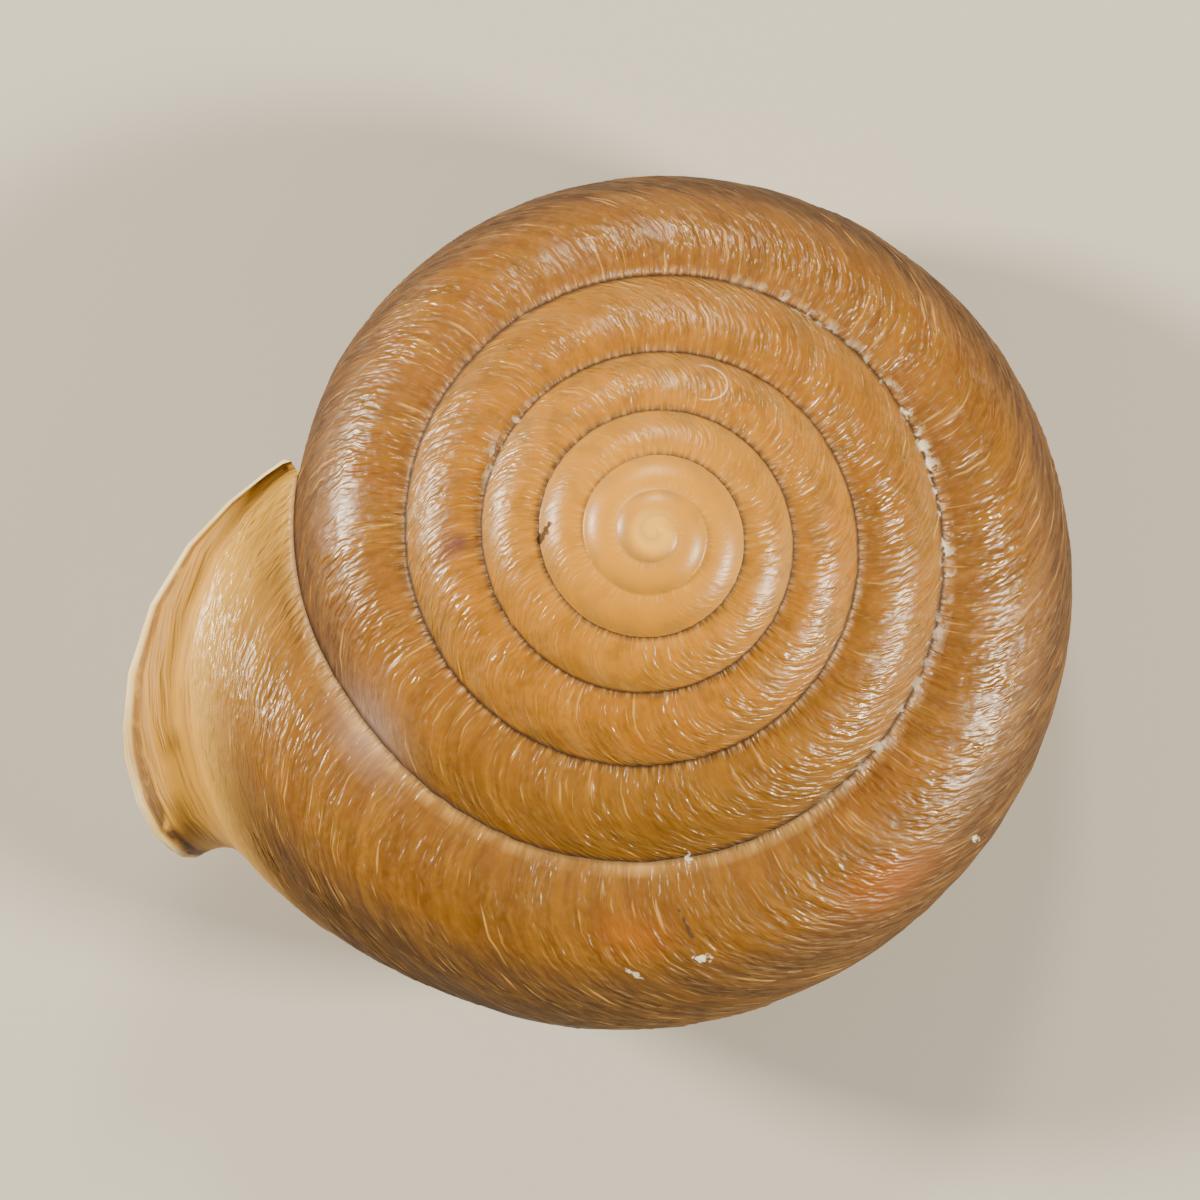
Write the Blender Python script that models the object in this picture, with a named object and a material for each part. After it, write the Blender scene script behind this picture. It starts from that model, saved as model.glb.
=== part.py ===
"""Land snail shell: a low, right-handed coil with a turned-out lip, modelled as one hollow body.

Lengths here are in millimetres and angles in degrees; the mesh is written in metres, +Z up.
The coil is worked out about an upright axis with the apex at the origin. It then leans by LEAN_X and
LEAN_Y, so that it lies on its base and lower lip, and its lowest point comes to z = 0 under the middle.

Growth is counted in whorls by x. It is 0 where the last whorl's seam passes the left (-X) side, and it
rises towards the mouth, clockwise seen from the apex. A profile angle runs over the whorl's outside:
0 at the upper seam, 90 at the rim, 180 at the lowest point of the base, 270 at the navel.
"""

import math

import bmesh
import bpy
import numpy as np
from mathutils import Euler, Vector

METRE = 0.001

# Growth of the coil, measured at the upper seam
GROWTH = 1.3178
SEAM_RADIUS = 12.93
SEAM_INSET = 2.10
LAST_GROWTH = 12.0 / 360.0
TURNS = 6.5

# Height of the spire: a cone with a rounded tip
SPIRE_SLOPE = 0.51
TIP_ROUNDING = 1.0

# Whorl section
WHORL_WIDTH = 4.62
COVERED_SHARE = 0.89
BASE_DEPTH = 5.3
BASE_GROWTH = 0.2
BASE_ROUNDNESS = 2.3
BASE_LOWEST_SHARE = 0.48
NAVEL_RADIUS = 0.9
NAVEL_HEIGHT = -9.3
NAVEL_CURVE = 2.2
NAVEL_DIMPLE = 0.25

# The last whorl swells towards the mouth, after a flatter stretch and with a slight neck
SWELL = 0.23
SWELL_START = -0.70
SWELL_LENGTH = 0.65
FLAT_DEPTH = 0.08
FLAT_AT = -0.74
FLAT_LENGTH = 0.14
NECK_DEPTH = 0.045
NECK_AT = -0.17
NECK_LENGTH = 0.045

# Close to the mouth the seam runs down over the rim of the whorl before
DESCENT = 0.4
DESCENT_START = -0.10
DESCENT_TURN = 25.0
DESCENT_RELAX = 0.12

# Growth lines lean back from the seam outwards
LINE_LEAN = 48.0
LINE_LEAN_POWER = 2.5
MOUTH_TRIM = 20.5
MOUTH_TRIM_END = 140.0
MOUTH_TRIM_COLUMNS = 8
EARLY_GROWTH = -3.0

# Wall, cavity and callus
WALL = 0.55
CALLUS = 0.12
CALLUS_EDGE_TURN = 1.5
CALLUS_NAVEL_TURN = 10.0
FLOOR_STEEPEST = 0.4
COLUMELLA_RADIUS = 2.3
COLUMELLA_SHARE = 0.7
CAVITY_TURNS = 1.3
CAVITY_END = 1.2

# Lip, as (forward, outward) steps from the last growth line, outer face first
LIP_OUTER = ((0.45, 0.03), (0.85, 0.22), (1.15, 0.55), (1.32, 0.95), (1.40, 1.32))
LIP_EDGE = ((1.56, 1.52),)
LIP_INNER = ((1.70, 1.34), (1.66, 0.92), (1.50, 0.42), (1.20, -0.02), (0.75, -0.34), (0.30, -0.49))
LIP_END_WIDTH = 0.15
LIP_END_REACH = 0.30
LIP_BASE_WIDTH = 0.4
LIP_FULL_ANGLE = 70.0
LIP_FADE_ANGLE = 60.0
LIP_BASE_START = 85.0
LIP_BASE_END = 170.0

# Rest attitude
LEAN_X = -5.61
LEAN_Y = 6.02

# Mesh: columns run along the growth lines, rows along the coil
COLUMNS = 48
LEAN_COLUMNS = 2
TOP_ROWS = 6
ROWS = 22
RING_STEP = 2
SMALL_ANGLE = 0.5
SMALL_GROWTH = 0.01

COVERED_ANGLE = math.degrees(math.asin(COVERED_SHARE))
LAST_COLUMN = round(TURNS * COLUMNS)
FREE_COLUMN = LAST_COLUMN - COLUMNS + LEAN_COLUMNS


def ease(share):
    """Smooth step from 0 to 1."""
    share = min(max(share, 0.0), 1.0)
    return share * share * (3.0 - 2.0 * share)


def bump(x, middle, length):
    """Smooth bump of height 1."""
    return math.exp(-(((x - middle) / length) ** 2))


def column_growth(column):
    """Growth of a column at its upper seam."""
    return LAST_GROWTH - (LAST_COLUMN - column) / COLUMNS


def plain_seam(x):
    """Radius and height of the seam, without the descent at the mouth."""
    radius = SEAM_RADIUS * GROWTH**x - SEAM_INSET
    height = -SPIRE_SLOPE * (math.hypot(radius, TIP_ROUNDING) - TIP_ROUNDING)
    return radius, height


def covered_angle(x):
    """Profile angle at which the next whorl's seam lies on this one."""
    along = (x + 1.0 - DESCENT_START) / (LAST_GROWTH - DESCENT_START)
    past = (x + 1.0 - LAST_GROWTH) / DESCENT_RELAX
    return COVERED_ANGLE + DESCENT_TURN * ease(along) * (1.0 - ease(past))


def fullness(x):
    """Width of the whorl against the steady growth of the coil."""
    swell = SWELL * ease((x - SWELL_START) / SWELL_LENGTH)
    flat = FLAT_DEPTH * bump(x, FLAT_AT, FLAT_LENGTH)
    neck = NECK_DEPTH * bump(x, NECK_AT, NECK_LENGTH)
    return 1.0 + swell - flat - neck


def rim(x):
    """Radius and height of the rim, the widest line of the whorl."""
    seam_radius, seam_height = plain_seam(x)
    drop = seam_height - plain_seam(x + 1.0)[1]
    top = drop / (1.0 - math.cos(math.radians(COVERED_ANGLE)))
    descent = DESCENT * ease((x - DESCENT_START) / (LAST_GROWTH - DESCENT_START))
    return seam_radius + WHORL_WIDTH * GROWTH**x * fullness(x), seam_height - top - descent


def seam(x):
    """Radius and height of the upper seam, on the whorl before."""
    if x <= DESCENT_START:
        return plain_seam(x)
    return profile(x - 1.0, covered_angle(x - 1.0))


def navel_height(x):
    """Height of the navel under the last whorl, and of the hidden navels further up."""
    return NAVEL_HEIGHT * GROWTH ** min(x + 1.0, 0.0)


def profile(x, angle):
    """Radius and height of the whorl's outside at a profile angle."""
    rim_radius, rim_height = rim(x)
    if angle <= 90.0:
        seam_radius, seam_height = seam(x)
        turn = math.radians(angle)
        radius = seam_radius + (rim_radius - seam_radius) * math.sin(turn)
        return radius, rim_height + (seam_height - rim_height) * math.cos(turn)
    low_radius = BASE_LOWEST_SHARE * rim_radius
    depth = BASE_DEPTH * GROWTH ** (BASE_GROWTH * x)
    if angle <= 180.0:
        turn = math.radians(angle - 90.0)
        power = 2.0 / BASE_ROUNDNESS
        radius = low_radius + (rim_radius - low_radius) * max(math.cos(turn), 0.0) ** power
        return radius, rim_height - depth * math.sin(turn) ** power
    share = (angle - 180.0) / 90.0
    low_height = rim_height - depth
    radius = low_radius + (NAVEL_RADIUS - low_radius) * share
    return radius, low_height + (navel_height(x) - low_height) * share**NAVEL_CURVE


def outward(x, angle):
    """Unit normal of the profile, in radius and height."""
    before = profile(x, max(angle - SMALL_ANGLE, 0.0))
    after = profile(x, angle + SMALL_ANGLE)
    across, along = before[1] - after[1], after[0] - before[0]
    length = math.hypot(across, along)
    return across / length, along / length


def offset_profile(x, angle, distance):
    """Profile point moved outwards by a distance."""
    radius, height = profile(x, angle)
    across, up = outward(x, angle)
    return radius + across * distance, height + up * distance


def place(x, radius, height):
    """Point in space, with the azimuth clockwise from the left side."""
    azimuth = 2.0 * math.pi * (x + 1.0)
    return Vector((-radius * math.cos(azimuth), radius * math.sin(azimuth), height))


def row_angle(x, row):
    """Profile angle of a row."""
    top = covered_angle(x)
    if row <= TOP_ROWS:
        return top * row / TOP_ROWS
    return top + (270.0 - top) * (row - TOP_ROWS) / (ROWS - TOP_ROWS)


def line_lean(angle):
    """Turn by which a growth line lies behind its start at the seam."""
    covered_lean = 360.0 * LEAN_COLUMNS / COLUMNS
    reach = COVERED_ANGLE / (-math.log(1.0 - covered_lean / LINE_LEAN)) ** (1.0 / LINE_LEAN_POWER)
    return LINE_LEAN * (1.0 - math.exp(-((angle / reach) ** LINE_LEAN_POWER)))


def nominal_angle(row):
    """Profile angle of a row away from the mouth."""
    return row_angle(EARLY_GROWTH, row)


def line_growth(column, row):
    """Growth at a row of a column, with the lean of the growth line and the trim at the mouth."""
    angle = nominal_angle(row)
    near = ease(1.0 - (LAST_COLUMN - column) / MOUTH_TRIM_COLUMNS)
    trim = MOUTH_TRIM * math.sin(math.pi * min(angle / MOUTH_TRIM_END, 1.0))
    return column_growth(column) - (line_lean(angle) + trim * near) / 360.0


def outer_point(column, row):
    """Point on the outside of the shell."""
    x = line_growth(column, row)
    return place(x, *profile(x, row_angle(x, row)))


def angle_at_height(x, height):
    """Profile angle at which the whorl's outside is at a height."""
    low, high = 0.0, 180.0
    for _ in range(40):
        middle = (low + high) / 2.0
        if profile(x, middle)[1] > height:
            low = middle
        else:
            high = middle
    return low


def corner(x):
    """Radius, height and angle on the whorl before, of the cavity's upper inner corner."""
    height = seam(x)[1] - WALL
    angle = angle_at_height(x - 1.0, height)
    radius, height = offset_profile(x - 1.0, angle, CALLUS)
    return radius, height, angle


def columella_radius(x):
    """Radius of the pillar that the cavity winds round."""
    return COLUMELLA_RADIUS * GROWTH ** min(x, 0.0)


def navel_share(x, radius):
    """Share of the way from the lowest line of the base to the navel."""
    low_radius = BASE_LOWEST_SHARE * rim(x)[0]
    return (low_radius - radius) / (low_radius - NAVEL_RADIUS)


def cavity_floor(x, radius):
    """Height of the cavity's floor near the columella."""
    share = navel_share(x, radius)
    height = profile(x, 180.0 + 90.0 * share)[1]
    down = -outward(x, 180.0 + 90.0 * share)[1]
    return height + WALL / max(down, FLOOR_STEEPEST)


def cavity_outer(x, row):
    """Point of the cavity's wall under the outside, and of the columella for the last rows."""
    angle = row_angle(x, row)
    if row == 0:
        return place(x, *corner(x)[:2])
    if angle <= 180.0:
        seam_radius = seam(x)[0]
        start = math.degrees(math.asin((corner(x)[0] - seam_radius) / (rim(x)[0] - seam_radius)))
        return place(x, *offset_profile(x, start + (180.0 - start) * angle / 180.0, -WALL))
    share = (angle - 180.0) / 90.0
    pillar = columella_radius(x)
    if share <= COLUMELLA_SHARE:
        low_radius = BASE_LOWEST_SHARE * rim(x)[0]
        radius = low_radius + (pillar - low_radius) * share / COLUMELLA_SHARE
        return place(x, radius, cavity_floor(x, radius))
    floor = cavity_floor(x, pillar)
    roof = offset_profile(x - 1.0, 180.0 + 90.0 * navel_share(x - 1.0, pillar), CALLUS)[1]
    up = (share - COLUMELLA_SHARE) / (1.0 - COLUMELLA_SHARE)
    return place(x, pillar, floor + (roof - floor) * up)


def cavity_parietal(x, row):
    """Point of the cavity's wall on the whorl before, whose growth is x."""
    top = corner(x + 1.0)[2]
    bottom = 180.0 + 90.0 * navel_share(x, columella_radius(x + 1.0))
    angle = top + (bottom - top) * (row - TOP_ROWS) / (ROWS - TOP_ROWS)
    return place(x, *offset_profile(x, angle, CALLUS))


def parietal_growth(row):
    """Growth of the callus edge, just inside the free edge of the whorl before."""
    share = (row - TOP_ROWS) / (ROWS - TOP_ROWS)
    behind = CALLUS_EDGE_TURN + CALLUS_NAVEL_TURN * share**3
    return line_growth(FREE_COLUMN, row) - behind / 360.0


def ring_point(depth, row, parietal):
    """Point of a closed ring of the cavity, a number of whorls behind the mouth."""
    if parietal:
        return cavity_parietal(parietal_growth(row) - depth, row)
    return cavity_outer(line_growth(LAST_COLUMN, row) - depth, row)


def lip_scale(row):
    """Width and reach of the lip at a row, narrowing at both ends and under the base."""
    angle = nominal_angle(row)
    under = ease((angle - LIP_BASE_START) / (LIP_BASE_END - LIP_BASE_START))
    base = 1.0 - (1.0 - LIP_BASE_WIDTH) * under
    end = min(ease(angle / LIP_FULL_ANGLE), ease((270.0 - angle) / LIP_FADE_ANGLE))
    width = (LIP_END_WIDTH + (1.0 - LIP_END_WIDTH) * end) * base
    return width, LIP_END_REACH + (1.0 - LIP_END_REACH) * end


def lip_frame(row):
    """Directions forward and outward at the last growth line."""
    here = outer_point(LAST_COLUMN, row)
    before = outer_point(LAST_COLUMN, max(row - 1, 0))
    after = outer_point(LAST_COLUMN, min(row + 1, ROWS))
    x = line_growth(LAST_COLUMN, row)
    back = place(x - SMALL_GROWTH, *profile(x - SMALL_GROWTH, row_angle(x, row)))
    along = (after - before).normalized()
    forward = here - back
    forward = (forward - along * forward.dot(along)).normalized()
    out = along.cross(forward).normalized()
    across, up = outward(x, row_angle(x, row))
    if out.dot(place(x, across, up)) < 0.0:
        out = -out
    return forward, out


def lip_point(start, row, forward_step, out_step):
    """Point of the lip, stepped from a start at the last growth line."""
    forward, out = lip_frame(row)
    width, reach = lip_scale(row)
    return start + forward * forward_step * reach + out * out_step * width


def add_strip(bm, first, second):
    """Faces between two lines of vertices of the same length."""
    for here, there, there_next, here_next in zip(first, second, second[1:], first[1:]):
        corners = []
        for vert in (here, there, there_next, here_next):
            if vert not in corners:
                corners.append(vert)
        if len(corners) > 2:
            bm.faces.new(corners)


def add_outside(bm):
    """Outside of the coil, as columns of vertices that share the seam with the whorl before."""
    columns = []
    for column in range(LAST_COLUMN + 1):
        rows = ROWS if column >= FREE_COLUMN else TOP_ROWS
        line = [bm.verts.new(outer_point(column, row)) for row in range(1, rows + 1)]
        shared = column - COLUMNS + LEAN_COLUMNS
        if shared >= 0:
            line.insert(0, columns[shared][TOP_ROWS])
        else:
            line.insert(0, bm.verts.new(outer_point(column, 0)))
        columns.append(line)
    for before, after in zip(columns, columns[1:]):
        shared = min(len(before), len(after))
        add_strip(bm, before[:shared], after[:shared])
    return columns


def close_tip(bm, columns):
    """Cap over the first turn."""
    inner_seam = [columns[column][0] for column in range(COLUMNS - LEAN_COLUMNS)]
    bm.faces.new(columns[0][1 : TOP_ROWS + 1] + inner_seam[::-1])


def close_navel(bm, columns):
    """Shallow plug in the navel."""
    ring = [columns[column][ROWS] for column in range(FREE_COLUMN, LAST_COLUMN + 1)]
    middle = bm.verts.new((0.0, 0.0, NAVEL_HEIGHT + NAVEL_DIMPLE))
    for here, there in zip(ring, ring[1:] + ring[:1]):
        bm.faces.new((here, there, middle))


def add_cavity(bm):
    """Rings of the cavity from the mouth inwards, closed at the far end."""
    rings = []
    steps = round(CAVITY_TURNS * COLUMNS / RING_STEP)
    for step in range(steps + 1):
        depth = step * RING_STEP / COLUMNS
        ring = [bm.verts.new(ring_point(depth, row, False)) for row in range(ROWS + 1)]
        for row in range(ROWS - 1, TOP_ROWS, -1):
            ring.append(bm.verts.new(ring_point(depth, row, True)))
        rings.append(ring)
    for before, after in zip(rings, rings[1:]):
        add_strip(bm, before + before[:1], after + after[:1])
    last = rings[-1]
    middle = sum((vert.co for vert in last), Vector()) / len(last)
    before = sum((vert.co for vert in rings[-2]), Vector()) / len(last)
    end = bm.verts.new(middle + (middle - before).normalized() * CAVITY_END)
    for here, there in zip(last, last[1:] + last[:1]):
        bm.faces.new((here, there, end))
    return rings[0]


def add_lip(bm, columns, ring):
    """Turned-out lip from the last growth line round to the cavity, and the corners at its two ends."""
    mouth = columns[LAST_COLUMN]
    inside = ring[: ROWS + 1]
    lines = [mouth]
    for start, steps in ((mouth, LIP_OUTER), (mouth, LIP_EDGE), (inside, LIP_INNER)):
        lift = WALL if start is inside else 0.0
        for forward_step, out_step in steps:
            line = []
            for row, vert in enumerate(start):
                point = lip_point(vert.co, row, forward_step, out_step + lift)
                line.append(bm.verts.new(point))
            lines.append(line)
    lines.append(inside)
    for before, after in zip(lines, lines[1:]):
        add_strip(bm, before, after)
    free = columns[FREE_COLUMN][TOP_ROWS:]
    parietal = ring[ROWS + 1 :][::-1]
    add_strip(bm, free[1:-1], parietal)
    bm.faces.new([line[0] for line in lines] + [parietal[0], free[1]])
    bm.faces.new([line[-1] for line in lines] + [parietal[-1], free[-2], free[-1]])


def stand(bm):
    """Lean the coil as it rests, and put the middle of its footprint at the origin."""
    lean = Euler((math.radians(LEAN_X), math.radians(LEAN_Y), 0.0)).to_matrix()
    for vert in bm.verts:
        vert.co = lean @ vert.co
    points = np.array([vert.co[:] for vert in bm.verts])
    low, high = points.min(axis=0), points.max(axis=0)
    middle = Vector(((low[0] + high[0]) / 2.0, (low[1] + high[1]) / 2.0, low[2]))
    for vert in bm.verts:
        vert.co = (vert.co - middle) * METRE


def shell_material():
    """Horny brown outer layer over chalky shell."""
    material = bpy.data.materials.new("horny brown shell")
    material.use_nodes = True
    shader = material.node_tree.nodes["Principled BSDF"]
    shader.inputs["Base Color"].default_value = (0.33, 0.155, 0.05, 1.0)
    shader.inputs["Roughness"].default_value = 0.38
    shader.inputs["Metallic"].default_value = 0.0
    return material


def build_shell():
    """The whole shell as one object."""
    bm = bmesh.new()
    columns = add_outside(bm)
    close_tip(bm, columns)
    close_navel(bm, columns)
    add_lip(bm, columns, add_cavity(bm))
    bmesh.ops.triangulate(bm, faces=bm.faces[:])
    stand(bm)
    bmesh.ops.recalc_face_normals(bm, faces=bm.faces[:])
    mesh = bpy.data.meshes.new("shell")
    bm.to_mesh(mesh)
    bm.free()
    mesh.shade_smooth()
    mesh.set_sharp_from_angle(angle=math.radians(40.0))
    mesh.materials.append(shell_material())
    shell = bpy.data.objects.new("shell", mesh)
    bpy.context.scene.collection.objects.link(shell)
    return shell


for leftover in list(bpy.data.objects):
    bpy.data.objects.remove(leftover)
build_shell()
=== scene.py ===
"""Looks of a land snail shell: the growth of its coil, its relief, its finishes and the studio round it.

Lengths are in millimetres and angles in degrees until the finished piece is brought to metres. The coil is
worked out about an upright axis with the apex at the origin, and then leans as the shell rests.
Growth is counted in whorls by x, 0 where the last whorl's seam passes the left side. A profile angle runs
over the whorl's outside: 0 at the upper seam, 90 at the rim, 180 at the lowest base, 270 at the navel.
"""

import logging
import math
from dataclasses import dataclass, field
from enum import Enum
from typing import ClassVar

import bpy
import numpy as np
from mathutils import Euler, Matrix, Vector


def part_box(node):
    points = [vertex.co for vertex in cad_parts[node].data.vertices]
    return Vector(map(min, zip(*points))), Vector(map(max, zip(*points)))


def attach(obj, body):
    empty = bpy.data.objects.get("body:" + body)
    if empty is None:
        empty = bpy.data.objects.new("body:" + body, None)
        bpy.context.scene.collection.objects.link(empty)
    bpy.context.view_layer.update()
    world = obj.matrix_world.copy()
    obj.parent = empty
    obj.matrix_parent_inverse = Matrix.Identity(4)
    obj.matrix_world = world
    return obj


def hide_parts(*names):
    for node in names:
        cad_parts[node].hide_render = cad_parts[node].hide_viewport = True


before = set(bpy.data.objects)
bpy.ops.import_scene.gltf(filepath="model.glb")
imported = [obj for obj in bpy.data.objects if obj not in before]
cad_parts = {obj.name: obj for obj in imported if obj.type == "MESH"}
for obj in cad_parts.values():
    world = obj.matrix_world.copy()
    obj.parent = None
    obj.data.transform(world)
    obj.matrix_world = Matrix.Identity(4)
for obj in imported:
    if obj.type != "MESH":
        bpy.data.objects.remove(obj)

LOG = logging.getLogger("snail_shell")
METRE = 0.001
WHOLE_TURN = 360.0
RIM, LOWEST, NAVEL = 90.0, 180.0, 270.0
PHOTO_PIXEL = 0.031348
PHOTO_SIZE = 1200
APEX_PIXEL = (653.5, 533.0)
SEEN_LEAN_X = -4.6
SEEN_LEAN_Y = 1.1

Array = np.ndarray
Pair = tuple[Array, Array]
Socket = bpy.types.NodeSocket

# Setting of a node that maps one range on to another with soft ends
SMOOTH = {"interpolation_type": "SMOOTHSTEP"}


def ease(share: Array) -> Array:
    """Smooth step from 0 to 1."""
    share = np.clip(share, 0.0, 1.0)
    return share * share * (3.0 - 2.0 * share)


def hump(x: Array, middle: float, length: float) -> Array:
    """Smooth hump of height 1."""
    return np.exp(-(((x - middle) / length) ** 2))


def distance_along(points: Array) -> Array:
    """Distance of each point from the first of its line."""
    step = np.linalg.norm(np.diff(points, axis=1), axis=-1)
    return np.concatenate([np.zeros((len(points), 1)), np.cumsum(step, axis=1)], axis=1)


def linear(hex_colour: str) -> tuple[float, float, float, float]:
    """Turn an sRGB hex colour into the linear colour that a shader takes.

    Args:
        hex_colour: six hex digits after a hash sign.

    Returns:
        The linear red, green, blue and full alpha.
    """
    values = [int(hex_colour[start : start + 2], 16) / 255.0 for start in (1, 3, 5)]
    red, green, blue = (v / 12.92 if v <= 0.04045 else ((v + 0.055) / 1.055) ** 2.4 for v in values)
    return red, green, blue, 1.0


def turned(about_x: float, about_y: float) -> Matrix:
    """Turn about Y and then about X, both in degrees."""
    turn_x = Euler((math.radians(about_x), 0.0, 0.0)).to_matrix()
    return turn_x @ Euler((0.0, math.radians(about_y), 0.0)).to_matrix()


def as_seen(points: Array) -> Array:
    """Points of the upright coil as the camera sees them: right, up and towards the eye."""
    return points @ np.array(turned(SEEN_LEAN_X, SEEN_LEAN_Y)).T


@dataclass(frozen=True)
class Chance:
    """Seeded irregularity, the same on every run."""

    seed: int
    line_size: int = 8192
    field_size: tuple[int, int] = (4096, 64)
    offset: float = 16.0

    def table(self, *shape: int) -> Array:
        """Random values between -1 and 1."""
        return np.random.default_rng(self.seed).uniform(-1.0, 1.0, shape)

    def line(self, place: Array, spacing: float) -> Array:
        """Smooth waves along a line.

        Args:
            place: where each value is wanted.
            spacing: distance between two independent values.

        Returns:
            Values between -1 and 1.
        """
        table = self.table(self.line_size)
        at = place / spacing + self.offset
        low = np.floor(at).astype(int)
        share = ease(at - low)
        return table[low % self.line_size] * (1.0 - share) + table[(low + 1) % self.line_size] * share

    def field(self, along: Array, across: Array, step_along: float, step_across: float) -> Array:
        """Smooth waves over a surface.

        Args:
            along: first coordinate.
            across: second coordinate.
            step_along: distance between independent values along the first.
            step_across: distance between independent values along the second.

        Returns:
            Values between -1 and 1.
        """
        table = self.table(*self.field_size)
        first, second = along / step_along + self.offset, across / step_across + self.offset
        low, left = np.floor(first).astype(int), np.floor(second).astype(int)
        a, b = ease(first - low), ease(second - left)
        low, left = low % (self.field_size[0] - 1), left % (self.field_size[1] - 1)
        top = table[low, left] * (1.0 - b) + table[low, left + 1] * b
        bottom = table[low + 1, left] * (1.0 - b) + table[low + 1, left + 1] * b
        return top * (1.0 - a) + bottom * a


@dataclass(frozen=True)
class Coil:
    """Growth of the coil and the section of its whorls, as the solid has them."""

    growth: float = 1.3178
    seam_radius: float = 12.93
    seam_inset: float = 2.10
    last_growth: float = 12.0 / WHOLE_TURN
    spire_slope: float = 0.51
    tip_rounding: float = 1.0
    whorl_width: float = 4.62
    covered_share: float = 0.89
    base_depth: float = 5.3
    base_growth: float = 0.2
    base_roundness: float = 2.3
    base_lowest_share: float = 0.48
    navel_radius: float = 0.9
    navel_low: float = -9.3
    navel_curve: float = 2.2
    navel_dimple: float = 0.25
    swell: float = 0.23
    swell_start: float = -0.70
    swell_length: float = 0.65
    flat_depth: float = 0.08
    flat_at: float = -0.74
    flat_length: float = 0.14
    neck_depth: float = 0.045
    neck_at: float = -0.17
    neck_length: float = 0.045
    descent: float = 0.4
    descent_start: float = -0.10
    descent_turn: float = 25.0
    descent_relax: float = 0.12
    small_angle: float = 0.5

    @property
    def covered(self) -> float:
        """Profile angle under the next whorl's seam, away from the mouth."""
        return math.degrees(math.asin(self.covered_share))

    def plain_seam(self, x: Array) -> Pair:
        """Radius and height of the seam, without the descent at the mouth."""
        radius = self.seam_radius * self.growth**x - self.seam_inset
        return radius, -self.spire_slope * (np.hypot(radius, self.tip_rounding) - self.tip_rounding)

    def sinking(self, x: Array) -> Array:
        """How far the seam has come in its descent to the mouth, from 0 to 1."""
        return ease((x - self.descent_start) / (self.last_growth - self.descent_start))

    def covered_angle(self, x: Array) -> Array:
        """Profile angle at which the next whorl's seam lies on this one."""
        past = (x + 1.0 - self.last_growth) / self.descent_relax
        return self.covered + self.descent_turn * self.sinking(x + 1.0) * (1.0 - ease(past))

    def fullness(self, x: Array) -> Array:
        """Width of the whorl against the steady growth of the coil."""
        swell = self.swell * ease((x - self.swell_start) / self.swell_length)
        flat = self.flat_depth * hump(x, self.flat_at, self.flat_length)
        return 1.0 + swell - flat - self.neck_depth * hump(x, self.neck_at, self.neck_length)

    def rim(self, x: Array) -> Pair:
        """Radius and height of the widest line of the whorl."""
        seam_radius, seam_height = self.plain_seam(x)
        drop = seam_height - self.plain_seam(x + 1.0)[1]
        top = drop / (1.0 - math.cos(math.radians(self.covered)))
        width = self.whorl_width * self.growth**x * self.fullness(x)
        return seam_radius + width, seam_height - top - self.descent * self.sinking(x)

    def seam(self, x: Array) -> Pair:
        """Radius and height of the upper seam, which near the mouth runs down over the whorl before."""
        radius, height = self.plain_seam(x)
        late = x > self.descent_start
        if np.any(late):
            before = x[late] - 1.0
            radius[late], height[late] = self.profile(before, self.covered_angle(before))
        return radius, height

    def navel_height(self, x: Array) -> Array:
        """Height of the navel under the last whorl, and of the hidden ones further up."""
        return self.navel_low * self.growth ** np.minimum(x + 1.0, 0.0)

    def lowest(self, x: Array) -> Array:
        """Radius of the lowest line of the base."""
        return self.base_lowest_share * self.rim(x)[0]

    def profile(self, x: Array, angle: Array) -> Pair:
        """Point of the whorl's outside.

        Args:
            x: growth in whorls.
            angle: profile angle.

        Returns:
            The radius and the height.
        """
        x, angle = np.broadcast_arrays(np.asarray(x, float), np.asarray(angle, float))
        rim_radius, rim_height = self.rim(x)
        seam_radius, seam_height = self.seam(x)
        low_radius = self.lowest(x)
        depth = self.base_depth * self.growth ** (self.base_growth * x)
        power = 2.0 / self.base_roundness
        turn = np.radians(np.minimum(angle, RIM))
        radius = seam_radius + (rim_radius - seam_radius) * np.sin(turn)
        height = rim_height + (seam_height - rim_height) * np.cos(turn)
        turn = np.radians(np.clip(angle, RIM, LOWEST) - RIM)
        side = angle > RIM
        reach = np.maximum(np.cos(turn), 0.0) ** power
        radius = np.where(side, low_radius + (rim_radius - low_radius) * reach, radius)
        height = np.where(side, rim_height - depth * np.sin(turn) ** power, height)
        share = np.maximum((angle - LOWEST) / (NAVEL - LOWEST), 0.0)
        low_height = rim_height - depth
        radius = np.where(angle > LOWEST, low_radius + (self.navel_radius - low_radius) * share, radius)
        rise = (self.navel_height(x) - low_height) * share**self.navel_curve
        return radius, np.where(angle > LOWEST, low_height + rise, height)

    def outward(self, x: Array, angle: Array) -> Pair:
        """Unit normal of the profile, in radius and height."""
        before = self.profile(x, np.maximum(angle - self.small_angle, 0.0))
        after = self.profile(x, angle + self.small_angle)
        across, along = before[1] - after[1], after[0] - before[0]
        length = np.hypot(across, along)
        return across / length, along / length

    def offset(self, x: Array, angle: Array, distance: Array) -> Pair:
        """Profile point moved outwards by a distance."""
        radius, height = self.profile(x, angle)
        across, up = self.outward(x, angle)
        return radius + across * distance, height + up * distance

    def place(self, x: Array, point: Pair) -> Array:
        """Points in space, with the azimuth clockwise from the left side."""
        azimuth = 2.0 * np.pi * (x + 1.0)
        radius, height = point
        return np.stack([-radius * np.cos(azimuth), radius * np.sin(azimuth), height], axis=-1)


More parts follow.
